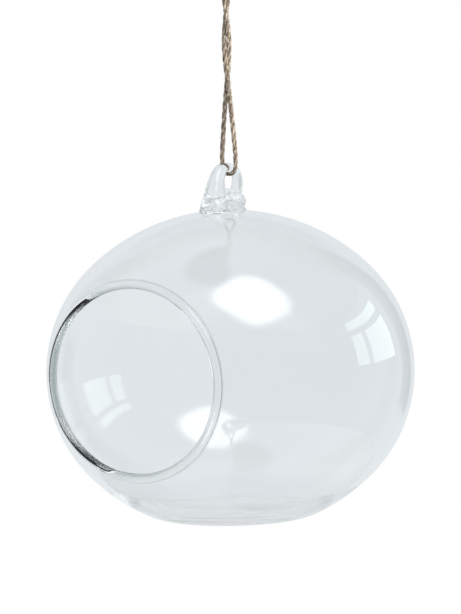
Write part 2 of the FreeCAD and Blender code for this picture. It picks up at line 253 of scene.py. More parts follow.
COLUMNS, WALL_ROWS, BEAD_ROWS = 288, 190, 24
ROW_CROWDING, REACH_STEPS = 2.0, 70
BEAD_FILLET, ROUND_BEAD_SHARE = 0.5, 0.25
# The unevenness of the glass outside and inside, each by seed, swing and wave, and how far from the
# rim it begins and is full
OUTER_RIPPLE, INNER_RIPPLE = (11, 0.035, 60.0), (12, 0.12, 46.0)
RIPPLE_WAVES, RIPPLE_SPREAD = 7, (0.7, 1.6)
CALM_NEAR_RIM, CALM_FAR = 2.7, 11.7
# How far the stout glass's tint shows: all over the bead and fully at its tip, and in the base; and
# the painted shade, in the same tint, that draws a dark line along the wall where the bead meets it
BEAD_TINT_SHARE, BEAD_TINT_POWER, SHOULDER_SHADE_SHARE, SHOULDER_LINE = 0.08, 6, 0.45, 0.6
BASE_TINT_SHARE = 0.2


def outer_distance(points):
    """How far points, taken from the globe's middle, lie outside its outer form."""
    out, up = np.hypot(points[..., 0], points[..., 1]), points[..., 2]
    high = np.abs(up) + CROWN_DROP
    side = np.hypot(out - SIDE_MIDDLE, up) - SIDE_ARC
    wide = np.hypot(out, high) - CROWN_ARC
    result = np.where(np.arctan2(high, out) > JOINT_ANGLE, wide, side)
    corner_up = BASE_ROUNDING - BASE_DEPTH
    corner_out = math.sqrt((CROWN_ARC - BASE_ROUNDING) ** 2 - (CROWN_DROP - corner_up) ** 2)
    corner = np.hypot(out - corner_out, up - corner_up) - BASE_ROUNDING
    base = np.where(out > corner_out, corner, -BASE_DEPTH - up)
    lowest = (up < 0) & (out * (CROWN_DROP - corner_up) < corner_out * high)
    return np.where(lowest, base, result)


def base_share(points):
    """0 up the wall and 1 in the floor, with a soft change along the base's rounding."""
    return rise(-points[..., 2], BASE_DEPTH - BASE_ROUNDING, BASE_DEPTH - WALL)


def inner_distance(points):
    """The same as the outer distance for the hollow, which follows the outside and leaves a thicker
    floor."""
    thickness = WALL + (FLOOR_THICKNESS - WALL) * base_share(points)
    return outer_distance(points - np.array([0, CAVITY_SETBACK, 0])) + thickness


def soft_highest(one, other, rounding):
    near = np.maximum(rounding - np.abs(one - other), 0.0) / rounding
    return np.maximum(one, other) + near**2 * rounding / 4


def soft_lowest(one, other, rounding):
    return -soft_highest(-one, -other, rounding)


def reach(directions, distance):
    """How far from the globe's middle a closed form lies in each direction."""
    length = np.zeros(directions.shape[:-1])
    for _ in range(REACH_STEPS):
        length -= distance(directions * length[..., None])
    return length


def ripple(points, seed, swing, wave):
    """A gentle unevenness, the same for the same seed."""
    chance = np.random.default_rng(seed)
    total = np.zeros(points.shape[:-1])
    for _ in range(RIPPLE_WAVES):
        turn = chance.normal(size=3)
        turn *= FULL_TURN / (wave * chance.uniform(*RIPPLE_SPREAD) * np.linalg.norm(turn))
        total += np.sin(points @ turn + chance.uniform(0, FULL_TURN))
    return total * swing / RIPPLE_WAVES


def wall_directions():
    """Directions from the globe's middle: columns round the mouth, and rows from the rim to the back
    that are closer together near the rim."""
    half_wide = math.sqrt((GLOBE_RADIUS - WALL / 2) ** 2 - MOUTH_DISTANCE**2)
    half_tall = math.sqrt((SIDE_ARC - WALL / 2) ** 2 - (MOUTH_DISTANCE - SIDE_MIDDLE) ** 2)
    round_mouth = np.arange(COLUMNS) / COLUMNS * FULL_TURN
    oval = np.stack(
        [half_wide * np.cos(round_mouth), np.zeros(COLUMNS), half_tall * np.sin(round_mouth)], axis=1
    )
    rim_angle = np.arctan2(np.linalg.norm(oval, axis=1), MOUTH_DISTANCE)[:, None]
    share = (np.arange(WALL_ROWS) / (WALL_ROWS - 1)) ** ROW_CROWDING
    angle = (rim_angle + (math.pi - rim_angle) * share)[..., None]
    return unit(oval)[:, None, :] * np.sin(angle) + np.array([0, -1.0, 0]) * np.cos(angle)


def bead_rows(middle, normal):
    """The bead's points, from the outside round to the inside, and how far the tint shows on them."""
    rim, outward = middle[:, 0], normal[:, 0]
    towards = rim - middle[:, 1]
    towards = unit(towards - outward * np.einsum("ci,ci->c", towards, outward)[:, None])
    turn = np.arange(1, BEAD_ROWS) / BEAD_ROWS * math.pi
    points = rim[:, None, :] + RIM_RADIUS * (
        np.cos(turn)[None, :, None] * outward[:, None, :]
        + np.sin(turn)[None, :, None] * towards[:, None, :]
    )
    tint = BEAD_TINT_SHARE + (1 - BEAD_TINT_SHARE) * np.sin(turn) ** BEAD_TINT_POWER
    return points, np.tile(tint, (COLUMNS, 1))


def globe_points():
    """The wall's outside and inside, in columns round the mouth and rows from rim to back, the bead
    that joins them, and how far the tint shows on the wall and on the bead, with a painted dark line
    of shade on the wall where the bead meets it."""
    directions = wall_directions()
    outer = directions * reach(directions, outer_distance)[..., None]
    inner = directions * reach(directions, inner_distance)[..., None]
    middle = (outer + inner) / 2
    normal = slope_of(outer_distance, middle)
    bead, bead_tint = bead_rows(middle, normal)
    steps = np.linalg.norm(np.diff(middle, axis=1), axis=2)
    along = np.concatenate([np.zeros((COLUMNS, 1)), np.cumsum(steps, axis=1)], axis=1)
    half = np.einsum("cri,cri->cr", outer - middle, normal)
    round_bead = np.sqrt(np.maximum(RIM_RADIUS**2 - along**2, 0.0))
    thick = soft_highest(round_bead, half, BEAD_FILLET)
    thick = np.where(along < RIM_RADIUS * ROUND_BEAD_SHARE, round_bead, thick)
    swell = (thick - half)[..., None] * normal
    free = rise(along, CALM_NEAR_RIM, CALM_FAR)
    free = free * rise(middle[..., 2], -BASE_DEPTH, BASE_ROUNDING - BASE_DEPTH)
    uneven = free[..., None] * normal
    outer = outer + swell + uneven * ripple(outer, *OUTER_RIPPLE)[..., None]
    inner = inner - swell + uneven * ripple(inner, *INNER_RIPPLE)[..., None]
    # Painted shade: a dark line in the stout tint along the wall where the bead meets it
    shoulder_shade = band(along, RIM_RADIUS - SHOULDER_LINE, RIM_RADIUS, RIM_RADIUS, RIM_RADIUS + SHOULDER_LINE)
    near_rim = BEAD_TINT_SHARE * (1 - rise(along, RIM_RADIUS / 2, CALM_NEAR_RIM))
    wall_tint_and_shade = np.maximum(near_rim + SHOULDER_SHADE_SHARE * shoulder_shade, BASE_TINT_SHARE * base_share(middle))
    return outer, bead, inner, wall_tint_and_shade, bead_tint


def glass_globe():
    outer, bead, inner, wall_tint_and_shade, bead_tint = globe_points()
    rows = np.concatenate([outer[:, -2::-1], bead, inner[:, :-1]], axis=1)
    count = rows.shape[1]
    tints_and_shade = np.concatenate([wall_tint_and_shade[:, -2::-1], bead_tint, wall_tint_and_shade[:, :-1]], axis=1)
    points = rows.reshape(-1, 3).tolist()
    back_outer, back_inner = len(points), len(points) + 1
    points += [outer[:, -1].mean(axis=0).tolist(), inner[:, -1].mean(axis=0).tolist()]
    faces = []
    for column in range(COLUMNS):
        here, beside = column * count, (column + 1) % COLUMNS * count
        for row in range(count - 1):
            faces.append((here + row, here + row + 1, beside + row + 1, beside + row))
        faces.append((back_outer, here, beside))
        faces.append((back_inner, beside + count - 1, here + count - 1))
    item = mesh_object("globe_glass", np.array(points) + GLOBE_CENTRE, faces)
    # The stout value holds the glass's own tint and the painted shade line where the bead meets the wall
    point_values(item, "stout", tints_and_shade.ravel().tolist() + [0.0, 0.0])
    turn_outward(item)
    return item


def turn_outward(item):
    """Points every face outward, as the signed volume tells."""
    mesh = item.data
    mesh.calc_loop_triangles()
    points = np.array([vertex.co[:] for vertex in mesh.vertices])
    corners = np.array([triangle.vertices[:] for triangle in mesh.loop_triangles])
    one, two, three = (points[corners[:, index]] for index in range(3))
    if np.einsum("ij,ij->i", one, np.cross(two, three)).sum() < 0:
        mesh.flip_normals()


# Glass hook

ROWS_BETWEEN = 5
HOOK_SINK, SKIRT_SINK, SKIRT_WIDTH, SKIRT_FILLET = 0.9, 0.2, 0.8, 2.6
LOOP_BLEND, DRAWN_BLEND, EDGE_BLEND = 4.0, 0.9, 0.5
# The box that is searched for the hook's surface, and how finely
GRID_LOW = (-13.5, -19.5, GLOBE_HALF_HEIGHT - 5.0)
GRID_HIGH = (13.5, 12.8, GLOBE_HALF_HEIGHT + CREST_HEIGHT + 3.5)
GRID_STEP, SETTLING_STEPS = 0.42, 4


def rod_distance(points, line, radii):
    """Distance outside a round rod that follows a line and changes its thickness along it."""
    best = np.full(points.shape[0], np.inf)
    for start, end, thick, thin in zip(line, line[1:], radii, radii[1:]):
        run = end - start
        share = np.clip((points - start) @ run / (run @ run), 0, 1)
        away = np.linalg.norm(points - start - share[:, None] * run, axis=1)
        best = np.minimum(best, away - thick - (thin - thick) * share)
    return best


def finer(rows, parts):
    """More rows between the given ones, on a smooth curve through them."""
    rows = np.array(rows)
    padded = np.vstack([2 * rows[0] - rows[1], rows, 2 * rows[-1] - rows[-2]])
    made = []
    for before, start, end, after in zip(padded, padded[1:], padded[2:], padded[3:]):
        slope = end - before
        bend = 2 * before - 5 * start + 4 * end - after
        twist = 3 * start - before - 3 * end + after
        for step in range(parts):
            share = step / parts
            made.append(0.5 * (2 * start + slope * share + bend * share**2 + twist * share**3))
    made.append(rows[-1])
    return np.array(made)


def hook_row(across, along, up, radius):
    """A place on the hook, given as shares of its sizes, and how thick the hook is there."""
    return (
        PAD_HALF_WIDTH * across,
        LOOP_OFFSET + HOOK_LENGTH * along,
        GLOBE_HALF_HEIGHT + CREST_HEIGHT * up,
        radius,
    )


loop_rows = finer(
    [
        hook_row(0.0, along, up, CREST_RADIUS + (COLUMN_RADIUS - CREST_RADIUS) * stout)
        for along, up, stout in LOOP_SHARES
    ],
    ROWS_BETWEEN,
)
drawn_rows = finer(
    [hook_row(across, along, up, TAIL_RADIUS * stout) for across, along, up, stout in TAIL_SHARES],
    ROWS_BETWEEN,
)


def hook_distance(points):
    """Pad, loop and drawn tail melted together and run out onto the crown, from the globe's middle."""
    loop = rod_distance(points, loop_rows[:, :3], loop_rows[:, 3])
    drawn = rod_distance(points, drawn_rows[:, :3], drawn_rows[:, 3])
    middle = np.array([0, LOOP_OFFSET - PAD_SETBACK, GLOBE_HALF_HEIGHT])
    halves = np.array([PAD_HALF_WIDTH, PAD_HALF_LENGTH, PAD_HALF_HEIGHT])
    scaled = (points - middle) / halves
    length = np.linalg.norm(scaled, axis=1)
    pad = length * (length - 1) / np.maximum(np.linalg.norm(scaled / halves, axis=1), TINY)
    crown = np.linalg.norm(points + np.array([0, 0, CROWN_DROP]), axis=1) - CROWN_ARC
    gather = soft_lowest(soft_lowest(loop, pad, LOOP_BLEND), drawn, DRAWN_BLEND)
    skirt_wide, skirt_long = PAD_HALF_WIDTH + SKIRT_WIDTH, PAD_HALF_LENGTH + SKIRT_WIDTH
    edge = np.hypot(points[:, 0] / skirt_wide, (points[:, 1] - middle[1]) / skirt_long) - 1
    melted = soft_lowest(gather, crown + SKIRT_SINK, SKIRT_FILLET)
    melted = soft_highest(melted, edge * skirt_wide, EDGE_BLEND)
    return soft_highest(melted, -crown - HOOK_SINK, EDGE_BLEND)


def surface_net(distance, low, high, step):
    """A closed mesh where a distance field is nought."""
    axes = [np.arange(start, end + step, step) for start, end in zip(low, high)]
    grid = np.stack(np.meshgrid(*axes, indexing="ij"), axis=-1)
    field = distance(grid.reshape(-1, 3)).reshape(grid.shape[:3])
    inside = field < 0
    shape = np.array(field.shape) - 1
    total, weight = np.zeros((*shape, 3)), np.zeros(shape)

    def corner(array, offset):
        return array[tuple(slice(start, start + size) for start, size in zip(offset, shape))]

    for one in product((0, 1), repeat=3):
        for axis in range(3):
            if one[axis]:
                continue
            other = tuple(place + (index == axis) for index, place in enumerate(one))
            here, there = corner(field, one), corner(field, other)
            crossed = (here < 0) != (there < 0)
            share = np.where(crossed, here / np.where(crossed, here - there, 1.0), 0.0)
            spot = corner(grid, one) + (corner(grid, other) - corner(grid, one)) * share[..., None]
            total += np.where(crossed[..., None], spot, 0.0)
            weight += crossed
    used = weight > 0
    number = np.full(shape, -1)
    number[used] = np.arange(used.sum())
    points = total[used] / weight[used][:, None]
    faces = []
    for axis in range(3):
        one, two = (axis + 1) % 3, (axis + 2) % 3
        ahead = np.roll(inside, -1, axis=axis)
        cells = np.argwhere(inside != ahead)
        keep = (cells[:, axis] < shape[axis]) & (cells[:, one] > 0) & (cells[:, two] > 0)
        keep &= (cells[:, one] < shape[one]) & (cells[:, two] < shape[two])
        for cell in cells[keep]:
            ring = []
            for one_back, two_back in ((0, 0), (1, 0), (1, 1), (0, 1)):
                spot = cell.copy()
                spot[one] -= one_back
                spot[two] -= two_back
                ring.append(number[tuple(spot)])
            faces.append(ring if inside[tuple(cell)] else ring[::-1])
    for _ in range(SETTLING_STEPS):
        slope = slope_of(distance, points)
        points = points - slope * distance(points)[:, None]
    return points, faces


def glass_hook():
    points, faces = surface_net(hook_distance, GRID_LOW, GRID_HIGH, GRID_STEP)
    item = mesh_object("hook_glass", points + GLOBE_CENTRE, faces)
    turn_outward(item)
    return item


# Twine

RING_SPACING = 0.4
PLIES, PLY_SIDES, PLY_PITCH = 3, 12, 15.0
PLY_FULLNESS, LOOSENESS = 1.12, 1.12
TIGHT_BELOW, LOOSE_ABOVE = -104.0, -92.0
# The lumps of a yarn: how much each kind swings its radius, and their waves along it
LUMP_SWING, LUMP_SPACING, LUMP_OVERRUN = 0.07, 1.6, 3
FIVE_LOBES_SWING, FIVE_LOBES_WAVE = 0.09, 3.1
THREE_LOBES_SWING, THREE_LOBES_WAVE = 0.05, 2.3
# How dark the painted shade is in the grooves between the yarns, and how the twine's tone changes along it
# and by yarn
GROOVE_PAINTED_SHADE, GROOVE_SHARE, GROOVE_FADE = 0.3, 0.62, 0.3
TONE_SWING, TONE_DIP, TONE_WAVE = 0.17, 90.0, 100.0
YARN_TONES = (0.78, 1.12)
# Loose fibres along the twine and at a cut tip
FIBRE_SIDES, FIBRE_STEPS, FIBRE_CURL, FIBRE_THINNING = 3, 5, 0.175, 0.75
FIBRE_RADIUS, FIBRE_ROOT_SHARE = 0.045, 0.8
FIBRE_LEANS, FIBRE_LENGTHS, FIBRE_TONES = (0.25, 0.9), (0.7, 2.6), (0.7, 1.3)
TIP_RADIUS, TIP_DEPTH, TIP_SPREAD, TIP_LEAN, TIP_LENGTHS = 0.07, 0.8, 0.8, 0.4, (1.0, 1.8)
# The knot's line: two turns with three lobes, in shares of the room that its ball leaves
KNOT_POINTS, KNOT_TURNS, KNOT_LOBES = 260, 2, 3
KNOT_REACH_SHARE, KNOT_SWING_SHARE = 0.66, 0.34


def tube_faces(rows, sides):
    """The faces between the rings of a tube."""
    faces = []
    for row in range(rows - 1):
        here, ahead = row * sides, (row + 1) * sides
        for side in range(sides):
            beside = (side + 1) % sides
            faces.append((here + side, here + beside, ahead + beside, ahead + side))
    return faces


def ply_tube(line, phase, coil_radius, radius, chance):
    """One yarn of a laid twine round its line, with the lumps of its own fibres. Both radii hold
    one number for each row."""
    _, across, beyond = frames_along(line)
    along = np.arange(len(line)) * line_length(line) / (len(line) - 1)
    turn = phase + along / PLY_PITCH * FULL_TURN
    heart = line + coil_radius * (np.cos(turn)[:, None] * across + np.sin(turn)[:, None] * beyond)
    _, sideways, upward = frames_along(heart)
    lump_places = np.arange(0, along[-1] + LUMP_OVERRUN, LUMP_SPACING)
    lumps = np.interp(along, lump_places, chance.normal(size=len(lump_places)))[:, None]
    sides = np.arange(PLY_SIDES) / PLY_SIDES * FULL_TURN
    along = along[:, None]
    lobes = FIVE_LOBES_SWING * np.cos(5 * sides - along / FIVE_LOBES_WAVE * FULL_TURN + phase)
    lobes += THREE_LOBES_SWING * np.cos(3 * sides + along / THREE_LOBES_WAVE * FULL_TURN)
    girth = radius * (1 + LUMP_SWING * lumps + lobes)
    rings = heart[:, None, :] + girth[..., None] * (
        np.cos(sides)[None, :, None] * sideways[:, None, :]
        + np.sin(sides)[None, :, None] * upward[:, None, :]
    )
    points = rings.reshape(-1, 3).tolist() + [heart[0].tolist(), heart[-1].tolist()]
    # Painted shade: each yarn is darker on its side turned in towards the twine's middle, in the grooves
    # between the yarns
    out = np.linalg.norm(rings - line[:, None, :], axis=2) / (coil_radius + radius)
    groove_shade = GROOVE_PAINTED_SHADE + (1 - GROOVE_PAINTED_SHADE) * np.clip((out - GROOVE_SHARE) / GROOVE_FADE, 0, 1)
    tone = 1 - TONE_SWING * np.cos((along - TONE_DIP) / TONE_WAVE * FULL_TURN)
    shades = (groove_shade * tone * chance.uniform(*YARN_TONES)).ravel().tolist() + [1.0, 1.0]
    faces = tube_faces(len(line), PLY_SIDES)
    first, last = len(points) - 2, len(points) - 1
    top = (len(line) - 1) * PLY_SIDES
    for side in range(PLY_SIDES):
        beside = (side + 1) % PLY_SIDES
        faces.append((first, beside, side))
        faces.append((last, top + side, top + beside))
    return points, faces, shades


def fibre(start, heading, length, radius, chance):
    """A fine loose fibre: a hair that bends and thins towards its end."""
    bend = unit(chance.normal(size=3)) * FIBRE_CURL
    line = [start]
    for _ in range(FIBRE_STEPS):
        line.append(line[-1] + heading * length / FIBRE_STEPS)
        heading = unit(heading + bend)
    line = np.array(line)
    _, across, beyond = frames_along(line)
    points = []
    for row, heart in enumerate(line):
        thin = radius * (1 - FIBRE_THINNING * row / FIBRE_STEPS)
        for side in range(FIBRE_SIDES):
            turn = side / FIBRE_SIDES * FULL_TURN
            outward = math.cos(turn) * across[row] + math.sin(turn) * beyond[row]
            points.append((heart + thin * outward).tolist())
    top = FIBRE_STEPS * FIBRE_SIDES
    faces = tube_faces(len(line), FIBRE_SIDES)
    faces += [tuple(range(FIBRE_SIDES))[::-1], tuple(range(top, top + FIBRE_SIDES))]
    return points, faces, [chance.uniform(*FIBRE_TONES)] * len(points)


def gathered(name, parts):
    """One mesh from several sets of points, faces and shades."""
    points, faces, shades = [], [], []
    for new_points, new_faces, new_shades in parts:
        shift = len(points)
        points += new_points
        faces += [tuple(index + shift for index in face) for face in new_faces]
        shades += new_shades
    item = mesh_object(name, points, faces)
    point_values(item, "shade", shades)
    return item


def laid_twine(line, seed, fibres, tip_fibres=0, looseness=LOOSENESS):
    """The yarns of a twine round a line, with loose fibres. It is tight and bare where it bears on
    the glass."""
    chance = np.random.default_rng(seed)
    free = rise(line[:, 2], TIGHT_BELOW, LOOSE_ABOVE)
    radius = TWINE_DIAMETER / 2 * (1 + (looseness - 1) * free)[:, None]
    ply_radius = radius / (1 + 1 / math.sin(math.pi / PLIES)) * PLY_FULLNESS
    coil_radius = radius - ply_radius
    parts = [
        ply_tube(line, index / PLIES * FULL_TURN, coil_radius, ply_radius, chance)
        for index in range(PLIES)
    ]
    ahead, across, beyond = frames_along(line)
    for _ in range(fibres):
        row = chance.integers(1, len(line) - 1)
        turn = chance.uniform(0, FULL_TURN)
        side = math.cos(turn) * across[row] + math.sin(turn) * beyond[row]
        heading = unit(side * chance.uniform(*FIBRE_LEANS) + ahead[row] * chance.choice([-1, 1]))
        start = line[row] + side * radius[row] * FIBRE_ROOT_SHARE
        loose = fibre(start, heading, chance.uniform(*FIBRE_LENGTHS), FIBRE_RADIUS, chance)
        if line[row, 2] > LOOSE_ABOVE:
            parts.append(loose)
    for _ in range(tip_fibres):
        turn, out = chance.uniform(0, FULL_TURN), chance.uniform(0, TIP_SPREAD)
        side = math.cos(turn) * across[-1] + math.sin(turn) * beyond[-1]
        start = line[-1] - ahead[-1] * TIP_DEPTH + side * radius[-1] * out
        heading = unit(ahead[-1] + side * out * TIP_LEAN)
        parts.append(fibre(start, heading, chance.uniform(*TIP_LENGTHS), TIP_RADIUS, chance))
    return parts


def other_leg(points):
    return [(-x, -y, z) for x, y, z in points]


def knot_line():
    """A closed overhand turn inside the knot's ball."""
    around = np.linspace(0, FULL_TURN, KNOT_POINTS)
    strand = TWINE_DIAMETER / 2
    room = KNOT_RADIUS - strand
    radius = room * KNOT_REACH_SHARE + room * KNOT_SWING_SHARE * np.cos(KNOT_LOBES * around)
    across, beyond = np.cos(KNOT_TURNS * around), np.sin(KNOT_TURNS * around)
    up = KNOT_RISE + (KNOT_HALF_HEIGHT - strand) * np.sin(KNOT_LOBES * around)
    return even_line(np.stack([radius * across, radius * beyond, up], axis=1), RING_SPACING)


twine_line = route_line(other_leg(LEG_ROUTE)[::-1] + list(LEG_ROUTE), RING_SPACING)
twine = gathered("twine_strands", laid_twine(twine_line, seed=5, fibres=420))
knot = gathered("knot_strands", laid_twine(knot_line(), seed=6, fibres=60))
tail_parts = []
for seed, tail_route in ((7, TAIL_ROUTE), (8, other_leg(TAIL_ROUTE))):
    tail_line = route_line(tail_route, RING_SPACING)
    tail_parts += laid_twine(tail_line, seed, fibres=22, tip_fibres=26, looseness=0.97)
tails = gathered("tail_strands", tail_parts)


# Materials

# The stout colour is the thick glass's own tint and also the colour of the painted shade line at the bead
CLEAR_COLOUR, STOUT_AND_SHADE_COLOUR = (0.985, 0.992, 0.99), (0.48, 0.55, 0.53)
FINE_SHARE = 0.55


def new_material(name):
    material = bpy.data.materials.new(name)
    material.use_nodes = True
    nodes = material.node_tree.nodes
    return material, nodes, material.node_tree.links, nodes["Principled BSDF"]


def glass_material():
    """Clear glass with a faint unevenness of its skin, and its own tint where it is stout; the same
    tint also paints a dark line of shade where the bead meets the wall.
    """
    material, nodes, links, shader = new_material("clear_glass")
    shader.inputs["Base Color"].default_value = (*CLEAR_COLOUR, 1.0)
    shader.inputs["Transmission Weight"].default_value = 1.0
    shader.inputs["Roughness"].default_value = 0.0
    shader.inputs["IOR"].default_value = 1.51
    stout, tint = nodes.new("ShaderNodeAttribute"), nodes.new("ShaderNodeMix")
    stout.attribute_name, tint.data_type = "stout", "RGBA"
    mixed_sockets = [socket for socket in tint.inputs if socket.type == "RGBA"]
    for socket, colour in zip(mixed_sockets, (CLEAR_COLOUR, STOUT_AND_SHADE_COLOUR)):
        socket.default_value = (*colour, 1.0)
    result = next(socket for socket in tint.outputs if socket.type == "RGBA")
    links.new(stout.outputs["Fac"], tint.inputs["Factor"])
    links.new(result, shader.inputs["Base Color"])
    coordinates = nodes.new("ShaderNodeTexCoord")
    noise = nodes.new("ShaderNodeTexNoise")
    noise.inputs["Scale"].default_value = 55.0
    noise.inputs["Detail"].default_value = 2.0
    bump = nodes.new("ShaderNodeBump")
    bump.inputs["Strength"].default_value = 0.02
    bump.inputs["Distance"].default_value = 0.001
    links.new(coordinates.outputs["Object"], noise.inputs["Vector"])
    links.new(noise.outputs["Fac"], bump.inputs["Height"])
    links.new(bump.outputs["Normal"], shader.inputs["Normal"])
    return material


def jute_material():
    """Raw jute: fine straw and brown fibres with darker flecks, darkened by painted shade in the grooves
    between the yarns and by each yarn's and fibre's own tone.
    """
    material, nodes, links, shader = new_material("jute")
    shader.inputs["Base Color"].default_value = (0.46, 0.34, 0.24, 1.0)
    shader.inputs["Roughness"].default_value = 0.85
    shader.inputs["Sheen Weight"].default_value = 0.25
    coordinates = nodes.new("ShaderNodeTexCoord")
    stretch = nodes.new("ShaderNodeMapping")
    stretch.inputs["Scale"].default_value = (1.0, 1.0, 0.22)
    fine, broad = nodes.new("ShaderNodeTexNoise"), nodes.new("ShaderNodeTexNoise")
    fine.inputs["Scale"].default_value, fine.inputs["Detail"].default_value = 1900.0, 4.0
    broad.inputs["Scale"].default_value, broad.inputs["Detail"].default_value = 420.0, 3.0
    ramp = nodes.new("ShaderNodeValToRGB")
    darkest, lightest = ramp.color_ramp.elements
    darkest.color, lightest.color = (0.12, 0.08, 0.055, 1.0), (0.95, 0.82, 0.66, 1.0)
    darkest.position, lightest.position = 0.36, 0.64
    ramp.color_ramp.elements.new(0.5).color = (0.50, 0.385, 0.275, 1.0)
    shade, shaded = nodes.new("ShaderNodeAttribute"), nodes.new("ShaderNodeVectorMath")
    shade.attribute_name, shaded.operation = "shade", "SCALE"
    broad_part, blend = nodes.new("ShaderNodeMath"), nodes.new("ShaderNodeMath")
    broad_part.operation, blend.operation = "MULTIPLY", "MULTIPLY_ADD"
    broad_part.inputs[1].default_value = 1 - FINE_SHARE
    blend.inputs[1].default_value = FINE_SHARE
    bump = nodes.new("ShaderNodeBump")
    bump.inputs["Strength"].default_value = 0.6
    bump.inputs["Distance"].default_value = 0.0002
    links.new(coordinates.outputs["Object"], stretch.inputs["Vector"])
    links.new(stretch.outputs["Vector"], fine.inputs["Vector"])
    links.new(coordinates.outputs["Object"], broad.inputs["Vector"])
    links.new(broad.outputs["Fac"], broad_part.inputs[0])
    links.new(fine.outputs["Fac"], blend.inputs[0])
    links.new(broad_part.outputs["Value"], blend.inputs[2])
    links.new(blend.outputs["Value"], ramp.inputs["Fac"])
    links.new(ramp.outputs["Color"], shaded.inputs["Vector"])
    links.new(shade.outputs["Fac"], shaded.inputs["Scale"])
    links.new(shaded.outputs["Vector"], shader.inputs["Base Color"])
    links.new(fine.outputs["Fac"], bump.inputs["Height"])
    links.new(bump.outputs["Normal"], shader.inputs["Normal"])
    return material


globe, hook = glass_globe(), glass_hook()
clear, jute = glass_material(), jute_material()
for piece in (globe, hook):
    piece.data.materials.append(clear)
    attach(piece, "vase")
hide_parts("glass_globe")
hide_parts("glass_hook")

for piece in (twine, knot, tails):
    piece.data.materials.append(jute)
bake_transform(twine)
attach(knot, "twine_top")
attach(tails, "twine_top")
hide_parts("twine_bight", "twine_twisted_pair", "twine_eye")
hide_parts("twine_knot")
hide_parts("twine_tails")


# Studio

CARD_STEP, ROOM_RADIUS, WINDOW_RADIUS = 1.5, 2600.0, 1200.0
SOFTBOX_POWER, SOFTBOX_POINTS = 3.0, 49
ROOM_TINT = np.array([0.955, 1.0, 1.035])
WINDOW_LIGHT = np.array([1.75, 2.0, 1.95])
# Each pane by the turns and the heights in degrees between which it lies
WINDOW_PANES = {
    "window_wide": ((60, 84), (3, 19.5)),
    "window_narrow": ((88, 98), (3, 19.5)),
    "window_top": ((61, 98), (22.5, 27)),
}
# The room's brightness behind the vase and in front of it, and the turns between which it changes
BACK_LEVEL, FRONT_LEVEL, SIDE_TURNS = 0.80, 0.62, (60, 100)
# Where the room is darker: by how much, and at which turns and heights the darkness begins, is full,
# fades and ends
DARK_STRIPS = (
    (0.26, (29, 34, 47, 52), (-15, -12, 25, 60)),
    (0.18, (-58, -50, -40, -32), (-25, -10, 30, 65)),
    (0.10, (-70, -50, 50, 70), (26, 36, 58, 68)),
)
# The dark patch overhead, whose one side is straight, and the slightly brighter ring below
PATCH_DARKNESS, PATCH_HEIGHTS, PATCH_EDGE = 0.65, (69, 74), 0.03
RING_GLOW, RING_HEIGHTS = 0.03, (-66, -60, -14, -8)
FLOOR_HEIGHT, FLOOR_RADIUS, FLOOR_SIDES = -700.0, 820.0, 96
# Light that runs along the glass wall is turned back very many times before it leaves.
LIGHT_BOUNCES = 128


def glow_material():
    """Gives off the light, and covers what is behind it as far, as each point of a mesh says."""
    material = bpy.data.materials.new("glow")
    material.use_nodes = True
    nodes, links = material.node_tree.nodes, material.node_tree.links
    nodes.clear()
    light, cover = nodes.new("ShaderNodeAttribute"), nodes.new("ShaderNodeAttribute")
    light.attribute_name, cover.attribute_name = "light", "cover"
    emission, bare = nodes.new("ShaderNodeEmission"), nodes.new("ShaderNodeBsdfTransparent")
    mixer, out = nodes.new("ShaderNodeMixShader"), nodes.new("ShaderNodeOutputMaterial")
    links.new(light.outputs["Color"], emission.inputs["Color"])
    links.new(cover.outputs["Fac"], mixer.inputs["Fac"])
    links.new(bare.outputs["BSDF"], mixer.inputs[1])
    links.new(emission.outputs["Emission"], mixer.inputs[2])
    links.new(mixer.outputs["Shader"], out.inputs["Surface"])
    return material


glow = glow_material()


def glowing_grid(name, points, light, cover):
    """A sheet of light from rows of points, seen only in the glass and through it."""
    rows, columns = points.shape[:2]
    faces = []
    for row in range(rows - 1):
        for column in range(columns - 1):
            here = row * columns + column
            faces.append((here, here + 1, here + columns + 1, here + columns))
    item = mesh_object(name, points.reshape(-1, 3), faces)
    colours = np.concatenate([light, np.ones((rows, columns, 1))], axis=2)
    item.data.attributes.new("light", "FLOAT_COLOR", "POINT").data.foreach_set("color", colours.ravel())
    point_values(item, "cover", cover.ravel())
    item.data.materials.append(glow)
    item.visible_camera = False
    item.visible_diffuse = False
    item.visible_shadow = False


def from_globe(right, up, back):
    """A direction from the globe, in the camera's right, up and back."""
    return unit(right * view_right + up * view_up + back * view_back)


def softbox(outward, distance, wide, tall, level, soft, spin):
    """A rounded sheet of light that faces the globe, with soft edges."""
    level_across = unit(np.cross([0.0, 0.0, 1.0], outward))
    level_up = np.cross(outward, level_across)
    across = level_across * math.cos(spin) + level_up * math.sin(spin)
    upward = level_up * math.cos(spin) - level_across * math.sin(spin)
    side = np.linspace(-1, 1, SOFTBOX_POINTS)
    along, up = np.meshgrid(side, side)
    points = GLOBE_CENTRE + outward * distance
    points = points + along[..., None] * across * wide / 2 + up[..., None] * upward * tall / 2
    out = (np.abs(along) ** SOFTBOX_POWER + np.abs(up) ** SOFTBOX_POWER) ** (1 / SOFTBOX_POWER)
    glowing_grid("softbox", points, np.full((*out.shape, 3), level), rise(-out, -1, soft - 1))


def curved_card(name, turns, heights, radius, light):
    """Part of a ball round the globe, in degrees. Turn 0 is straight behind it as the camera sees it,
    and 90 to its right."""
    columns, rows = (2 + round((high - low) / CARD_STEP) for low, high in (turns, heights))
    turn, up = np.meshgrid(np.linspace(*turns, columns), np.linspace(*heights, rows))
    level_back = unit(np.array([view_back[0], view_back[1], 0.0]))
    round_way, up_way = np.radians(turn)[..., None], np.radians(up)[..., None]
    flat = np.sin(round_way) * view_right - np.cos(round_way) * level_back
    points = GLOBE_CENTRE + radius * (np.cos(up_way) * flat + np.sin(up_way) * np.array([0, 0, 1.0]))
    glowing_grid(name, points, light(turn, up), np.ones(turn.shape))


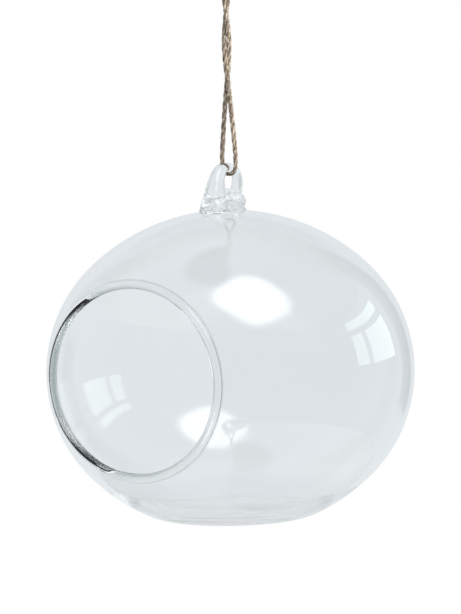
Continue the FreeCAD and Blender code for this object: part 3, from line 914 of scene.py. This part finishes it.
def room_light(turn, up):
    """How bright the pale room is in each direction: dimmer in front, with darker strips to the
    right, to the left and above, a dark patch overhead and a slightly brighter ring below."""
    level = BACK_LEVEL + (FRONT_LEVEL - BACK_LEVEL) * rise(np.abs(turn), *SIDE_TURNS)
    for darkness, turns, heights in DARK_STRIPS:
        level = level - darkness * band(turn, *turns) * band(up, *heights)
    leftward = -np.sin(np.radians(turn)) * np.cos(np.radians(up))
    patch = rise(up, *PATCH_HEIGHTS) * rise(leftward, -PATCH_EDGE, PATCH_EDGE)
    level = level - PATCH_DARKNESS * patch + RING_GLOW * band(up, *RING_HEIGHTS)
    return level[..., None] * ROOM_TINT


def window_light(turn, _):
    return np.ones((*turn.shape, 1)) * WINDOW_LIGHT


def lamp(name, outward, distance, wide, power):
    """A lamp that lights the twine and the floor and isn't seen in the glass."""
    data = bpy.data.lights.new(name, "AREA")
    data.shape, data.size, data.energy = "SQUARE", wide * MM, power
    item = bpy.data.objects.new(name, data)
    item.location = Vector((GLOBE_CENTRE + outward * distance) * MM)
    item.rotation_euler = Vector(outward).to_track_quat("Z", "Y").to_euler()
    item.visible_glossy = False
    item.visible_transmission = False
    bpy.context.collection.objects.link(item)


def white_world():
    """White where the camera, a reflection or the glass looks out, and a soft fill light elsewhere."""
    world = bpy.data.worlds.new("studio")
    world.use_nodes = True
    nodes, links = world.node_tree.nodes, world.node_tree.links
    nodes.clear()
    paths = nodes.new("ShaderNodeLightPath")
    white, fill = nodes.new("ShaderNodeBackground"), nodes.new("ShaderNodeBackground")
    white.inputs["Color"].default_value = (1.0, 1.0, 1.0, 1.0)
    white.inputs["Strength"].default_value = 1.0
    fill.inputs["Color"].default_value = (0.95, 0.97, 1.0, 1.0)
    fill.inputs["Strength"].default_value = 0.45
    seen = paths.outputs["Is Camera Ray"]
    for kind in ("Is Glossy Ray", "Is Transmission Ray"):
        either = nodes.new("ShaderNodeMath")
        either.operation = "MAXIMUM"
        links.new(seen, either.inputs[0])
        links.new(paths.outputs[kind], either.inputs[1])
        seen = either.outputs["Value"]
    mixer, out = nodes.new("ShaderNodeMixShader"), nodes.new("ShaderNodeOutputWorld")
    links.new(seen, mixer.inputs["Fac"])
    links.new(fill.outputs["Background"], mixer.inputs[1])
    links.new(white.outputs["Background"], mixer.inputs[2])
    links.new(mixer.outputs["Shader"], out.inputs["Surface"])
    return world


def floor():
    """A round pale floor below the hanging vase."""
    turns = np.arange(FLOOR_SIDES) / FLOOR_SIDES * FULL_TURN
    ring = [(FLOOR_RADIUS * math.cos(turn), FLOOR_RADIUS * math.sin(turn), FLOOR_HEIGHT) for turn in turns]
    item = mesh_object("floor", ring, [tuple(range(FLOOR_SIDES))], smooth=False)
    material, _, _, shader = new_material("floor")
    shader.inputs["Base Color"].default_value = (0.92, 0.92, 0.92, 1.0)
    shader.inputs["Roughness"].default_value = 0.9
    item.data.materials.append(material)


curved_card("room", (-180, 180), (-90, 90), ROOM_RADIUS, room_light)
for pane, (turns, heights) in WINDOW_PANES.items():
    curved_card(pane, turns, heights, WINDOW_RADIUS, window_light)
softbox(
    from_globe(0.20, 0.81, 0.55),
    distance=1200.0,
    wide=900.0,
    tall=1020.0,
    level=4.2,
    soft=0.4,
    spin=0.5,
)
lamp("key_lamp", from_globe(0.35, 0.80, 0.50), distance=1300.0, wide=700.0, power=14.0)
lamp("fill_lamp", from_globe(0.9, 0.25, 0.2), distance=1500.0, wide=900.0, power=7.0)
bpy.context.scene.world = white_world()
floor()

bpy.context.scene.view_settings.view_transform = "Standard"
for bounces in ("max_bounces", "glossy_bounces", "transmission_bounces"):
    setattr(bpy.context.scene.cycles, bounces, LIGHT_BOUNCES)
